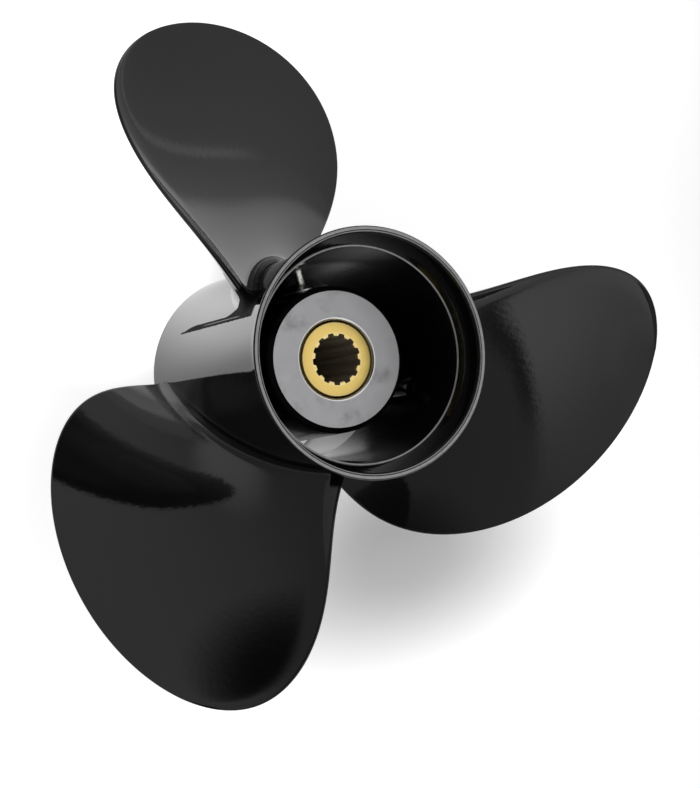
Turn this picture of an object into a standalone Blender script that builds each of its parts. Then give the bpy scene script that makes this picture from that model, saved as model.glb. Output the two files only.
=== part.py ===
"""Outboard boat propeller with a through-hub exhaust.

One aluminium casting carries three blades round a hollow barrel, with an inner hub held by three ribs.
A rubber shock bush sits in the inner hub, and a splined brass sleeve sits in the bush.
Metres, +Z along the shaft towards the stern, origin on the shaft axis in the plane of the front rim.
"""

import math

import bmesh
import bpy
import numpy as np
from mathutils import Matrix

# Gap between touching pieces, and the distance under which points are one
SEAT_GAP = 0.0003
MERGE_DISTANCE = 0.000001

# Finishes: colour, roughness, metallic
BLACK_PAINT = ((0.012, 0.012, 0.013), 0.22, 0.0)
BLACK_RUBBER = ((0.02, 0.02, 0.02), 0.7, 0.0)
BRASS = ((0.78, 0.57, 0.22), 0.3, 1.0)

# Barrel, the outer wall of the exhaust passage
BARREL_LENGTH = 0.1275
RIM_RADIUS = 0.04285
RIM_INNER_RADIUS = 0.0402
BARREL_RADIUS = 0.0433
PARTING_HEIGHT = 0.049
PARTING_INNER_RADIUS = 0.0381
STEP_HEIGHT = 0.116
STEP_RADIUS = 0.0415
STEP_WIDTH = 0.0006
STEP_RISE = 0.0002
RIM_CHAMFER = 0.0005

# Flared diffuser ring at the barrel's aft end
FLARE_START = 0.110
RING_RADIUS = 0.04825
RING_INNER_RADIUS = 0.0463
LIP_OUTER_CHAMFER = 0.0004
LIP_INNER_CHAMFER = 0.0002
FLARE_POWER = 1.6
FLARE_STEPS = 5

# Inner hub and its bores
HUB_FRONT = 0.018
HUB_FACE = 0.0945
HUB_FACE_RADIUS = 0.02685
HUB_SHOULDER_RADIUS = 0.0289
HUB_WAIST_RADIUS = 0.0303
HUB_FRONT_RADIUS = 0.0293
HUB_ROUND_HEIGHT = 0.006
HUB_ROUND_STEPS = 3
LIP_RADIUS = 0.0158
LIP_THICKNESS = 0.0045
LIP_CHAMFER = 0.0005
BUSH_BORE_RADIUS = 0.021
THRUST_SEAT_RADIUS = 0.0235
THRUST_SEAT_DEPTH = 0.003

# Ribs between the inner hub and the barrel
RIBS = 3
RIB_ANGLE = math.radians(2.0)
RIB_THICKNESS = 0.0034
RIB_FRONT = 0.026
RIB_AFT = 0.081
RIB_INNER_RADIUS = 0.026
RIB_OUTER_RADIUS = 0.0418
RIB_EDGE_ROUND = 0.0011
RIB_EDGE_STEPS = 3

# Rubber bush
BUSH_FRONT = 0.024

# Splined sleeve
SLEEVE_RADIUS = 0.0146
SLEEVE_FRONT = 0.012
SLEEVE_FACE = 0.0942
SLEEVE_CHAMFER = 0.0004
TEETH = 13
TOOTH_TIP_RADIUS = 0.0088
TOOTH_ROOT_RADIUS = 0.0102
TOOTH_PHASE = math.radians(-12.8)
TOOTH_LEAD_IN = 0.0016
LEAD_IN_RADIUS = 0.0105

# Angles of the splined bore's corners, as shares of the spacing from one tooth's middle to the next
TOOTH_CORNERS = (-0.30, -0.16, 0.0, 0.16, 0.30, 0.5)
TOOTH_HALF_WIDTH = 0.2

# Blades: right-handed helicoids with aft rake, described at five stations from root to tip
BLADES = 3
PITCH = 0.375
ROOT_RADIUS = 0.042
TIP_RADIUS = 0.1445
FACE_HEIGHT = 0.0496
RAKE_SLOPE = 0.459
RAKE_CURVE = -1.85
SPAN_STATIONS = (0.0, 0.25, 0.5, 0.75, 1.0)
CHORD_FULLNESS = (0.1097, 0.1279, 0.1559, 0.1774, 0.1890)
MID_ANGLE = (5.5, 1.9, 4.1, 10.3, 19.3)
ROOT_THICKNESS = 0.0095
TIP_THICKNESS = 0.0024
EDGE_THICKNESS = 0.0018
THICKNESS_TAPER = 1.2
SECTION_FULLNESS = 0.75
CUP_DEPTH = 0.0012
CUP_WIDTH = 0.009
TIP_TURN = math.pi / 2 - 0.02

# Root fillet: how much it adds to each side, how far out it reaches, and where its sections lie
FILLET_SIZE = 0.0048
FILLET_SPAN = 0.0105
FILLET_STATIONS = (0.0, 0.12, 0.26, 0.44, 0.68, 1.0)

# Facets
BARREL_SEGMENTS = 80
HUB_SEGMENTS = 60
SPAN_STEPS = 14
CHORD_STEPS = 12


def clear_scene():
    for thing in list(bpy.data.objects):
        bpy.data.objects.remove(thing, do_unlink=True)


def material(name, colour, roughness, metallic):
    made = bpy.data.materials.new(name)
    made.use_nodes = True
    shader = made.node_tree.nodes["Principled BSDF"]
    shader.inputs["Base Color"].default_value = (*colour, 1.0)
    shader.inputs["Roughness"].default_value = roughness
    shader.inputs["Metallic"].default_value = metallic
    return made


def finished(name, mesh_builder, finish=None, smooth_angle=35.0):
    """Turns a bmesh into an object with outward faces and its material."""
    bmesh.ops.recalc_face_normals(mesh_builder, faces=mesh_builder.faces)
    mesh = bpy.data.meshes.new(name)
    mesh_builder.to_mesh(mesh)
    mesh_builder.free()
    mesh.shade_smooth()
    mesh.set_sharp_from_angle(angle=math.radians(smooth_angle))
    made = bpy.data.objects.new(name, mesh)
    bpy.context.scene.collection.objects.link(made)
    if finish:
        mesh.materials.append(finish)
    return made


def turned(name, outline, segments, finish=None):
    """A ring with the closed (radius, height) outline, turned about Z."""
    builder = bmesh.new()
    points = [builder.verts.new((radius, 0.0, height)) for radius, height in outline]
    edges = [builder.edges.new((points[i - 1], points[i])) for i in range(len(points))]
    bmesh.ops.spin(
        builder,
        geom=points + edges,
        cent=(0, 0, 0),
        axis=(0, 0, 1),
        angle=2 * math.pi,
        steps=segments,
        use_merge=True,
        use_duplicate=False,
    )
    bmesh.ops.remove_doubles(builder, verts=builder.verts, dist=MERGE_DISTANCE)
    return finished(name, builder, finish)


def flare_radius(height):
    """Outer radius of the barrel, which opens out into the diffuser ring."""
    part_way = max(0.0, (height - FLARE_START) / (BARREL_LENGTH - FLARE_START))
    return BARREL_RADIUS + (RING_RADIUS - BARREL_RADIUS) * part_way**FLARE_POWER


def barrel_outline():
    """Up the outside from the front rim, over the flat lip, and down the inside past the step."""
    outer = [(RIM_RADIUS - RIM_CHAMFER, 0.0), (RIM_RADIUS, RIM_CHAMFER)]
    flare_top = BARREL_LENGTH - LIP_OUTER_CHAMFER
    flare = [(flare_radius(h), h) for h in np.linspace(FLARE_START, flare_top, FLARE_STEPS)]
    lip = [
        (RING_RADIUS - LIP_OUTER_CHAMFER, BARREL_LENGTH),
        (RING_INNER_RADIUS + LIP_INNER_CHAMFER, BARREL_LENGTH),
        (RING_INNER_RADIUS, BARREL_LENGTH - LIP_INNER_CHAMFER),
    ]
    step = [(STEP_RADIUS + STEP_WIDTH, STEP_HEIGHT + STEP_RISE), (STEP_RADIUS, STEP_HEIGHT)]
    bore = [(PARTING_INNER_RADIUS, PARTING_HEIGHT)]
    rim = [(RIM_INNER_RADIUS - RIM_CHAMFER, RIM_CHAMFER), (RIM_INNER_RADIUS, 0.0)]
    return outer + flare + lip + step + bore + rim


def inner_hub_outline():
    """Up the cast outside, round the shoulder to the machined face, and down the bores."""
    outer = [(HUB_FRONT_RADIUS, HUB_FRONT), (HUB_WAIST_RADIUS, PARTING_HEIGHT)]
    shoulder = []
    for turn in np.linspace(0, math.pi / 2, HUB_ROUND_STEPS + 1):
        radius = HUB_FACE_RADIUS + (HUB_SHOULDER_RADIUS - HUB_FACE_RADIUS) * math.cos(turn)
        shoulder.append((radius, HUB_FACE - HUB_ROUND_HEIGHT * (1 - math.sin(turn))))
    lip = [
        (LIP_RADIUS + LIP_CHAMFER, HUB_FACE),
        (LIP_RADIUS, HUB_FACE - LIP_CHAMFER),
        (LIP_RADIUS, HUB_FACE - LIP_THICKNESS),
        (BUSH_BORE_RADIUS, HUB_FACE - LIP_THICKNESS),
    ]
    seat = [(BUSH_BORE_RADIUS, HUB_FRONT + THRUST_SEAT_DEPTH), (THRUST_SEAT_RADIUS, HUB_FRONT)]
    return outer + shoulder + lip + seat


def through_stations(values, span):
    """A smooth curve through the values at the five blade stations."""
    degree = len(SPAN_STATIONS) - 1
    return np.polyval(np.polyfit(SPAN_STATIONS, values, degree), span)


def section_offsets(chord, thickest, fillet):
    """Places along the chord, with the face's and the suction side's distances from the pitch line."""
    stations = (1 - np.cos(np.pi * np.linspace(0, 1, CHORD_STEPS + 1))) / 2
    edge = EDGE_THICKNESS + 2 * fillet
    bulge = (4 * stations * (1 - stations)) ** SECTION_FULLNESS
    thickness = edge + (thickest + 2 * fillet - edge) * bulge
    from_edge = chord * np.minimum(stations, 1 - stations)
    nose = np.sqrt(1 - (1 - np.minimum(1.0, from_edge / (edge / 2))) ** 2)
    cup = CUP_DEPTH * np.maximum(0.0, 1 - chord * (1 - stations) / CUP_WIDTH) ** 2
    middle = cup + fillet - thickness / 2
    half = thickness * nose / 2
    return chord * (stations - 0.5), middle + half, middle - half


def blade_section(radius):
    """Points round the blade section at this radius: along its face, then back along its suction side."""
    span = (radius - ROOT_RADIUS) / (TIP_RADIUS - ROOT_RADIUS)
    above_root = radius - ROOT_RADIUS
    slope = math.atan2(PITCH, 2 * math.pi * radius)
    toe = max(0.0, 1 - (radius - BARREL_RADIUS) / FILLET_SPAN)
    fillet = FILLET_SIZE * toe**2
    chord = through_stations(CHORD_FULLNESS, span) * math.sqrt(max(0.0, 1 - span**2)) + 2 * fillet
    mid = math.radians(through_stations(MID_ANGLE, span))
    rake = RAKE_SLOPE * above_root + RAKE_CURVE * above_root**2
    thickest = TIP_THICKNESS + (ROOT_THICKNESS - TIP_THICKNESS) * (1 - span) ** THICKNESS_TAPER
    along, face, back = section_offsets(chord, thickest, fillet)
    flat = [(along[i], face[i]) for i in range(CHORD_STEPS + 1)]
    flat += [(along[i], back[i]) for i in range(CHORD_STEPS - 1, 0, -1)]
    loop = []
    for forward, offset in flat:
        angle = mid + forward * math.cos(slope) / radius
        height = FACE_HEIGHT + PITCH * angle / (2 * math.pi) + rake
        angle -= offset * math.sin(slope) / radius
        height += offset * math.cos(slope)
        loop.append((radius * math.cos(angle), radius * math.sin(angle), height))
    return loop


def blade_radii():
    """Close together through the root fillet and towards the tip."""
    in_fillet = [ROOT_RADIUS + FILLET_SPAN * part for part in FILLET_STATIONS]
    start = math.asin((in_fillet[-1] - ROOT_RADIUS) / (TIP_RADIUS - ROOT_RADIUS))
    turns = np.linspace(start, math.pi / 2, SPAN_STEPS + 1)[1:]
    turns[-1] = TIP_TURN
    return in_fillet + [ROOT_RADIUS + (TIP_RADIUS - ROOT_RADIUS) * math.sin(t) for t in turns]


def blade(name, angle):
    builder = bmesh.new()
    turn = Matrix.Rotation(angle, 3, "Z")
    loops = [[builder.verts.new(point) for point in blade_section(radius)] for radius in blade_radii()]
    count = len(loops[0])
    for lower, upper in zip(loops, loops[1:]):
        for i in range(count):
            j = (i + 1) % count
            builder.faces.new((lower[i], lower[j], upper[j], upper[i]))
    for ends in (loops[0], loops[-1]):
        builder.faces.new((ends[0], ends[1], ends[-1]))
        for i in range(1, CHORD_STEPS - 1):
            builder.faces.new((ends[i], ends[i + 1], ends[-i - 1], ends[-i]))
        builder.faces.new((ends[CHORD_STEPS - 1], ends[CHORD_STEPS], ends[CHORD_STEPS + 1]))
    bmesh.ops.rotate(builder, verts=builder.verts, cent=(0, 0, 0), matrix=turn)
    return finished(name, builder)


def rib(name, angle):
    """A radial web whose fore and aft edges are rounded."""
    builder = bmesh.new()
    bmesh.ops.create_cube(builder, size=1.0)
    length = RIB_OUTER_RADIUS - RIB_INNER_RADIUS
    bmesh.ops.scale(builder, verts=builder.verts, vec=(length, RIB_THICKNESS, RIB_AFT - RIB_FRONT))
    middle = ((RIB_OUTER_RADIUS + RIB_INNER_RADIUS) / 2, 0, (RIB_AFT + RIB_FRONT) / 2)
    bmesh.ops.translate(builder, verts=builder.verts, vec=middle)
    rounded = [e for e in builder.edges if abs(e.verts[0].co.x - e.verts[1].co.x) > length / 2]
    bmesh.ops.bevel(
        builder, geom=rounded, offset=RIB_EDGE_ROUND, segments=RIB_EDGE_STEPS, affect="EDGES", profile=0.5
    )
    bmesh.ops.rotate(builder, verts=builder.verts, cent=(0, 0, 0), matrix=Matrix.Rotation(angle, 3, "Z"))
    return finished(name, builder)


def join(body, pieces):
    """Boolean union of the pieces into the body; the pieces stay as hidden guides."""
    for piece in pieces:
        piece.hide_render = True
        piece.display_type = "WIRE"
        union = body.modifiers.new("join " + piece.name, "BOOLEAN")
        union.operation = "UNION"
        union.solver = "EXACT"
        union.object = piece


def bore_radius(angle, widest):
    """Radius of the splined bore at this angle, opened to the lead-in cone's radius."""
    place = (angle - TOOTH_PHASE) * TEETH / (2 * math.pi)
    from_tooth = abs(place - round(place))
    return max(TOOTH_TIP_RADIUS if from_tooth < TOOTH_HALF_WIDTH else TOOTH_ROOT_RADIUS, widest)


def splined_sleeve(finish):
    builder = bmesh.new()
    step = 2 * math.pi / TEETH
    angles = [TOOTH_PHASE + step * (tooth + part) for tooth in range(TEETH) for part in TOOTH_CORNERS]
    rings = [
        (SLEEVE_RADIUS, SLEEVE_FRONT + SLEEVE_CHAMFER, None),
        (SLEEVE_RADIUS, SLEEVE_FACE - SLEEVE_CHAMFER, None),
        (SLEEVE_RADIUS - SLEEVE_CHAMFER, SLEEVE_FACE, None),
        (None, SLEEVE_FACE, LEAD_IN_RADIUS),
        (None, SLEEVE_FACE - TOOTH_LEAD_IN, 0.0),
        (None, SLEEVE_FRONT + TOOTH_LEAD_IN, 0.0),
        (None, SLEEVE_FRONT, LEAD_IN_RADIUS),
        (SLEEVE_RADIUS - SLEEVE_CHAMFER, SLEEVE_FRONT, None),
    ]
    loops = []
    for radius, height, widest in rings:
        loop = []
        for angle in angles:
            at = radius if widest is None else bore_radius(angle, widest)
            loop.append(builder.verts.new((at * math.cos(angle), at * math.sin(angle), height)))
        loops.append(loop)
    for inner, outer in zip(loops, loops[1:] + loops[:1]):
        for i in range(len(angles)):
            j = (i + 1) % len(angles)
            builder.faces.new((inner[i], inner[j], outer[j], outer[i]))
    return finished("splined_sleeve", builder, finish, smooth_angle=25.0)


def rubber_bush(finish):
    inner = SLEEVE_RADIUS + SEAT_GAP
    outer = BUSH_BORE_RADIUS - SEAT_GAP
    aft = HUB_FACE - LIP_THICKNESS - SEAT_GAP
    outline = [(outer, BUSH_FRONT), (outer, aft), (inner, aft), (inner, BUSH_FRONT)]
    return turned("rubber_bush", outline, HUB_SEGMENTS, finish)


def casting(finish):
    body = turned("propeller_casting", barrel_outline(), BARREL_SEGMENTS, finish)
    pieces = [turned("guide_inner_hub", inner_hub_outline(), HUB_SEGMENTS)]
    pieces += [rib(f"guide_rib_{i + 1}", RIB_ANGLE + 2 * math.pi * i / RIBS) for i in range(RIBS)]
    pieces += [blade(f"guide_blade_{i + 1}", 2 * math.pi * i / BLADES) for i in range(BLADES)]
    join(body, pieces[1:1 + RIBS] + pieces[:1] + pieces[1 + RIBS:])
    return body


def main():
    clear_scene()
    casting(material("black_paint", *BLACK_PAINT))
    rubber_bush(material("black_rubber", *BLACK_RUBBER))
    splined_sleeve(material("brass", *BRASS))


if __name__ == "__main__":
    main()
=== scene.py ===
"""The finished look of a boat propeller: gloss black casting, machined face, rubber and brass."""

import math

import bmesh
import bpy
import numpy as np
from bpy.props import FloatProperty, FloatVectorProperty, IntProperty, PointerProperty
from mathutils import Matrix, Vector


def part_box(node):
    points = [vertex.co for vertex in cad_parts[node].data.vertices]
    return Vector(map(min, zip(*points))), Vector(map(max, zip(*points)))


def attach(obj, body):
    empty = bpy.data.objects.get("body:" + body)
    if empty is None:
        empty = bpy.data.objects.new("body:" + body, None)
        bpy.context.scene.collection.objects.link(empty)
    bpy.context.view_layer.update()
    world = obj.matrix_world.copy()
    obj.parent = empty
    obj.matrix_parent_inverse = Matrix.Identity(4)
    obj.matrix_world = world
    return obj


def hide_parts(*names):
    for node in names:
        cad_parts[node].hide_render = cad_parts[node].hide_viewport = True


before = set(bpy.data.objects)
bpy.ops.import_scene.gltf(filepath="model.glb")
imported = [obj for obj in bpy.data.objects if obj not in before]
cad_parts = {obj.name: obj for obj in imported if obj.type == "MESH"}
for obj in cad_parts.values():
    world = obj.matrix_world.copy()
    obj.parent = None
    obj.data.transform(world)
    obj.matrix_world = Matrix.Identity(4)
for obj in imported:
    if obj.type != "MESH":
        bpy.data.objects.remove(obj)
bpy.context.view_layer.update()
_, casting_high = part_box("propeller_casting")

bl_info = {
    "name": "Boat Propeller",
    "version": (1, 0, 0),
    "blender": (4, 5, 0),
    "location": "3D View > Sidebar > Propeller",
    "description": "Makes a three-bladed through-hub boat propeller in gloss black paint",
    "category": "Add Mesh",
}

BODY = "root"
CASTING_NODE = "propeller_casting"
BARREL_TOP = casting_high[2]
BUSH_NODE = "rubber_bush"
SLEEVE_NODE = "splined_sleeve"
MM = 0.001


# Sizes and colours


def length(name, description, default):
    return FloatProperty(name=name, description=description, default=default, unit="LENGTH", precision=5)


def share(name, description, default):
    return FloatProperty(
        name=name, description=description, default=default, min=0.0, max=1.0, subtype="FACTOR"
    )


def angle(name, description, degrees):
    turn = math.radians(degrees)
    return FloatProperty(name=name, description=description, default=turn, unit="ROTATION")


def number(name, description, default):
    return FloatProperty(name=name, description=description, default=default)


def colour(name, description, default):
    return FloatVectorProperty(
        name=name, description=description, default=default, size=3, subtype="COLOR", min=0.0, max=1.0
    )


class BarrelSizes(bpy.types.PropertyGroup):
    """The outer wall of the exhaust passage and its flared ring."""

    rim_radius: length("Rim radius", "Outer radius at the front rim", 0.04285)
    rim_inner: length("Rim bore", "Inner radius at the front rim", 0.0387)
    radius: length("Barrel radius", "Outer radius below the flare", 0.0433)
    parting_height: length("Parting height", "Height where the two casting cores met", 0.049)
    parting_inner: length("Parting bore", "Inner radius at the cores' meeting", 0.0381)
    step_height: length("Step height", "Height of the rounded step below the flare", 0.116)
    step_radius: length("Step radius", "Inner radius at the step", 0.0415)
    flare_start: length("Flare start", "Height where the outside starts to open out", 0.110)
    flare_power: number("Flare power", "How late the flare opens", 3.0)
    throat_power: number("Throat power", "How late its inside opens", 1.1)
    ring_radius: length("Ring radius", "Outer radius of the flared ring", 0.04895)
    ring_inner: length("Ring bore", "Inner radius of the flared ring at the lip", 0.0457)
    step_width: length("Step width", "How far the bare step stands in from the flare", 0.0006)
    step_rise: length("Step rise", "How much higher the step's outer edge lies", 0.0002)
    step_round: length("Step round", "Radius of the step's two edges", 0.00015)
    lip_outer_round: length("Lip outer round", "Radius of the lip's outer edge", 0.0007)
    lip_inner_round: length("Lip inner round", "Radius of the lip's inner edge", 0.00045)
    lip_land: length("Lip land", "Width of the painted land along the lip's inner edge", 0.0009)


class HubSizes(bpy.types.PropertyGroup):
    """The inner hub and the ribs that carry it."""

    front: length("Front height", "Height of the thrust face", 0.018)
    face_height: length("Face height", "Height of the machined aft face", 0.0945)
    face_radius: length("Face radius", "Radius of the machined face", 0.02685)
    shoulder: length("Shoulder radius", "Radius of the cast shoulder under the face", 0.0289)
    waist: length("Waist radius", "Radius where the two casting cores met", 0.0303)
    front_radius: length("Front radius", "Radius at the thrust face", 0.0293)
    lip_radius: length("Lip bore", "Bore through the machined face", 0.0153)
    lip_thickness: length("Lip thickness", "How thick the lip round that bore is", 0.0045)
    bush_bore: length("Bush bore", "Bore that holds the rubber bush", 0.021)
    thrust_seat: length("Thrust seat", "Radius of the bore's front chamfer", 0.0235)
    rib_angle: angle("Rib angle", "How far the ribs lead the blades", 2.0)
    rib_thickness: length("Rib thickness", "Thickness of each rib", 0.0034)
    rib_front: length("Rib front", "Height of the ribs' front edge", 0.026)
    rib_aft: length("Rib aft", "Height of the ribs' aft edge", 0.081)
    rib_fillet: length("Rib fillet", "Fillet where a rib meets a wall", 0.003)


class BladeSizes(bpy.types.PropertyGroup):
    """The three right-handed blades."""

    pitch: length("Pitch", "Advance in one turn", 0.375)
    root_radius: length("Root radius", "Radius where the blade's design begins", 0.042)
    tip_radius: length("Tip radius", "Radius of the tip circle", 0.1445)
    face_height: length("Face height", "Height of the face at the root's reference line", 0.0496)
    rake_slope: number("Rake slope", "Aft lean at the root", 0.459)
    rake_curve: number("Rake curve", "Change of the lean, per metre", -1.85)
    root_thickness: length("Root thickness", "Greatest thickness at the root", 0.0095)
    tip_thickness: length("Tip thickness", "Greatest thickness at the tip", 0.0024)
    edge_thickness: length("Edge thickness", "Thickness just inside the rounded edges", 0.0018)
    cup_depth: length("Cup depth", "How far the trailing edge curls aft", 0.0012)
    cup_width: length("Cup width", "Width of that curl", 0.009)
    fillet: length("Root fillet", "Radius of the fillet on the blade's two sides", 0.0045)
    leading_fillet: share("Leading fillet", "Fillet at the leading edge, as a share of the sides'", 0.25)
    trailing_fillet: share("Trailing fillet", "Fillet at the trailing edge, in the same way", 0.9)
    swell: length("Swell", "Extra thickness on the face at the root", 0.0035)
    swell_end: length("Swell's end", "Radius where the swell has run out", 0.085)
    camber: share("Camber", "How hollow the face is, as a share of the chord", 0.005)
    sag: share("Sag", "How far the face sags near its trailing edge, as a share of the chord", 0.016)
    back_fillet: share("Back fillet", "Fillet on the suction side, as a share of the face's", 0.5)


class SleeveSizes(bpy.types.PropertyGroup):
    """The brass sleeve and the rubber bush round it."""

    radius: length("Sleeve radius", "Outer radius of the sleeve", 0.0146)
    front: length("Sleeve front", "Height of the front end", 0.012)
    face: length("Sleeve face", "Height of the aft end", 0.0942)
    chamfer: length("Chamfer", "Chamfer of the outer edges", 0.0004)
    teeth: IntProperty(name="Teeth", description="Number of spline teeth", default=13, min=3)
    tooth_tip: length("Tooth tip radius", "Radius of the bore over the teeth", 0.0088)
    tooth_root: length("Tooth root radius", "Radius of the bore between the teeth", 0.0102)
    tooth_phase: angle("Tooth phase", "Angle of the first tooth", -12.8)
    lead_in: length("Lead-in", "Depth of the cone at each end of the teeth", 0.0004)
    bush_front: length("Bush front", "Height of the bush's front end", 0.024)
    gap: length("Seat gap", "Gap between pieces that touch", 0.0003)


class Colours(bpy.types.PropertyGroup):
    """The finishes."""

    paint: colour("Paint", "Black paint on the casting", (0.0035, 0.0035, 0.0038))
    paint_roughness: share("Paint roughness", "Roughness of the gloss paint", 0.07)
    paint_ior: number("Paint IOR", "Refractive index of the paint", 1.45)
    face_metal: colour("Machined face", "Bare aluminium of the hub face", (0.42, 0.42, 0.43))
    worn: colour("Worn edges", "Bare metal of the lip and the step", (0.30, 0.30, 0.30))
    # This bright colour also paints the highlights on the first rib's aft edge and on the round of the
    # face's bore.
    bare: colour("Bare metal", "Cast metal where the paint has come off", (0.95, 0.94, 0.90))
    brass: colour("Brass", "Machined brass of the sleeve", (0.95, 0.70, 0.22))
    rubber: colour("Rubber", "Moulded rubber of the bush", (0.022, 0.017, 0.011))


class Studio(bpy.types.PropertyGroup):
    """Camera, floor and light."""

    lens: number("Lens", "Focal length on a 36 mm sensor, in mm", 96.17)
    floor_size: length("Floor size", "Side of the square floor", 8.0)
    # The floor glow, far glow, pool, inside and shade numbers set the light and shade painted into the
    # table.
    floor_glow: number("Floor glow", "Light from the lit table", 0.75)
    far_glow: number("Far glow", "Light from the table far off", 0.12)
    pool: number("Pool", "Extra light in the pool beside the barrel", 1.15)
    inside: number("Inside", "Light on the table inside the barrel", 0.95)
    shade: number("Shade", "Light missing in the shaded corner", 0.7)
    room: number("Room", "Brightness of the room", 0.37)
    lamp: FloatProperty(name="Lamp", description="Power of the soft light", default=0.18, unit="POWER")


SETTINGS = {
    "propeller_barrel": BarrelSizes,
    "propeller_hub": HubSizes,
    "propeller_blades": BladeSizes,
    "propeller_sleeve": SleeveSizes,
    "propeller_colours": Colours,
    "propeller_studio": Studio,
}


# Shader maths


class Signal:
    """A shader socket that takes part in sums; each operator adds a Math node."""

    def __init__(self, finish, socket):
        self.finish = finish
        self.socket = socket

    def math(self, operation, *values, clamp=False):
        settings = {"operation": operation, "use_clamp": clamp}
        return self.finish.node("ShaderNodeMath", settings, dict(enumerate(values)))

    def __add__(self, other):
        return self.math("ADD", self, other)

    __radd__ = __add__

    def __sub__(self, other):
        return self.math("SUBTRACT", self, other)

    def __rsub__(self, other):
        return self.math("SUBTRACT", other, self)

    def __mul__(self, other):
        return self.math("MULTIPLY", self, other)

    __rmul__ = __mul__

    def __pow__(self, power):
        return self.math("POWER", self, power)

    def wave(self):
        return self.math("SINE", self)

    def clamped(self):
        return self.math("ADD", self, 0.0, clamp=True)

    def not_below(self, least):
        return self.math("MAXIMUM", self, least)

    def above(self, low, high):
        """0 below low, 1 above high, and smooth between them."""
        return self.finish.node(
            "ShaderNodeMapRange",
            {"interpolation_type": "SMOOTHSTEP"},
            {"Value": self, "From Min": low, "From Max": high},
        )

    def between(self, rise, fall):
        """0 outside, and 1 from the end of the rise to the start of the fall, which are pairs."""
        return self.above(*rise) * (1.0 - self.above(*fall))


class Finish:
    """A material, or the surroundings, while its nodes are put together."""

    def __init__(self, owner, shader):
        self.owner = owner
        owner.use_nodes = True
        self.nodes = owner.node_tree.nodes
        self.links = owner.node_tree.links
        self.shader = self.nodes[shader]

    @classmethod
    def material(cls, name):
        made = cls(bpy.data.materials.new(name), "Principled BSDF")
        made.place = made.node("ShaderNodeTexCoord", output="Object")
        return made

    def node(self, kind, settings=None, sockets=None, output=0):
        """Adds a node: its settings first, then the values or links of its sockets."""
        made = self.nodes.new(kind)
        for key, value in (settings or {}).items():
            setattr(made, key, value)
        for key, value in (sockets or {}).items():
            self.feed(made.inputs[key], value)
        return Signal(self, made.outputs[output])

    def feed(self, socket, value):
        if isinstance(value, Signal):
            self.links.new(value.socket, socket)
        elif hasattr(socket.default_value, "__len__") and not hasattr(value, "__len__"):
            socket.default_value = [value] * len(socket.default_value)
        elif hasattr(value, "__len__") and len(value) < len(socket.default_value):
            socket.default_value = (*value, 1.0)
        else:
            socket.default_value = value

    def set(self, **sockets):
        for key, value in sockets.items():
            self.feed(self.shader.inputs[key.replace("_", " ")], value)

    def noise(self, size, detail=2.0, roughness=0.5):
        """Noise whose features are about this size in metres, from 0 to 1."""
        return self.node(
            "ShaderNodeTexNoise",
            {"noise_dimensions": "3D"},
            {"Vector": self.place, "Scale": 1 / size, "Detail": detail, "Roughness": roughness},
        )

    def mix(self, factor, first, second):
        """The first colour where the factor is 0, and the second where it is 1."""
        return self.node(
            "ShaderNodeMix", {"data_type": "RGBA"}, {0: factor, 6: first, 7: second}, output=2
        )

    def bump(self, height, strength, depth, under=None):
        sockets = {"Height": height, "Strength": strength, "Distance": depth}
        if under:
            sockets["Normal"] = under
        return self.node("ShaderNodeBump", {}, sockets)

    def dull_where(self, mask, tint, roughness):
        """Mixes in a dull coat of this colour where the mask is 1."""
        coat = {"Base Color": tint, "Roughness": roughness, "Specular IOR Level": 0.02}
        dull = self.node("ShaderNodeBsdfPrincipled", {}, coat)
        gloss = Signal(self, self.shader.outputs[0])
        both = self.node("ShaderNodeMixShader", {}, {0: mask, 1: gloss, 2: dull})
        self.feed(self.nodes["Material Output"].inputs["Surface"], both)

    def axial(self):
        """(distance from the shaft axis, height) at the shaded point."""
        x, y, z = self.split(self.place)
        return (x * x + y * y) ** 0.5, z

    def split(self, vector):
        parts = self.node("ShaderNodeSeparateXYZ", {}, {0: vector}).socket.node.outputs
        return [Signal(self, part) for part in parts]


# Finishes

# Radii between which a finish changes
INSIDE_BARREL = (42.0 * MM, 42.2 * MM)
BARREL_SKIN = (49 * MM, 51 * MM)
ROUND_OF_FACE_BORE = (16.3 * MM, 16.5 * MM)
SLEEVE_BORE = (12 * MM, 13 * MM)
SLEEVE_INNER_RIM = (10.4 * MM, 10.7 * MM)
SLEEVE_OUTER_RIM = (14.0 * MM, 14.3 * MM)

# Depth below the sleeve's face at which old grease begins
GREASE_DEPTH = (0.3 * MM, 1.6 * MM)

# Colours that a finish mixes in
BRASS_RIM_HIGHLIGHT = (1.0, 0.84, 0.45)
THIN_GREASE, THICK_GREASE = (0.66, 0.60, 0.48), (0.34, 0.31, 0.25)
DULL_METAL = (0.45, 0.44, 0.42)
RUBBER_BLOOM = (0.05, 0.048, 0.045)
FLOOR_PALE, FLOOR_PALER = (0.77, 0.77, 0.775), (0.80, 0.80, 0.80)

# Pitch of the lathe marks on the machined face
LATHE_PITCH = 0.32 * MM

# Turns of the dull strip's edges and of the glossier streak in it, in radians from a blade's axis; the
# strip paints a dark reflection into the barrel's gloss
LINE_LOW, LINE_HIGH, LINE_SOFTNESS = 0.934, 0.992, 0.004
STREAK_RISE, STREAK_FALL = (0.954, 0.959), (0.964, 0.969)

# Heights where the line and the streak start and stop, and where the line's low edge moves
LINE_START, LINE_STOP = (26 * MM, 29 * MM), (106 * MM, 108 * MM)
STREAK_START, STREAK_STOP = (50 * MM, 60 * MM), (90 * MM, 95 * MM)
LINE_NARROW, LINE_WIDER, LINE_WIDEST = (27 * MM, 43 * MM), (77 * MM, 95 * MM), (93 * MM, 96 * MM)


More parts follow.
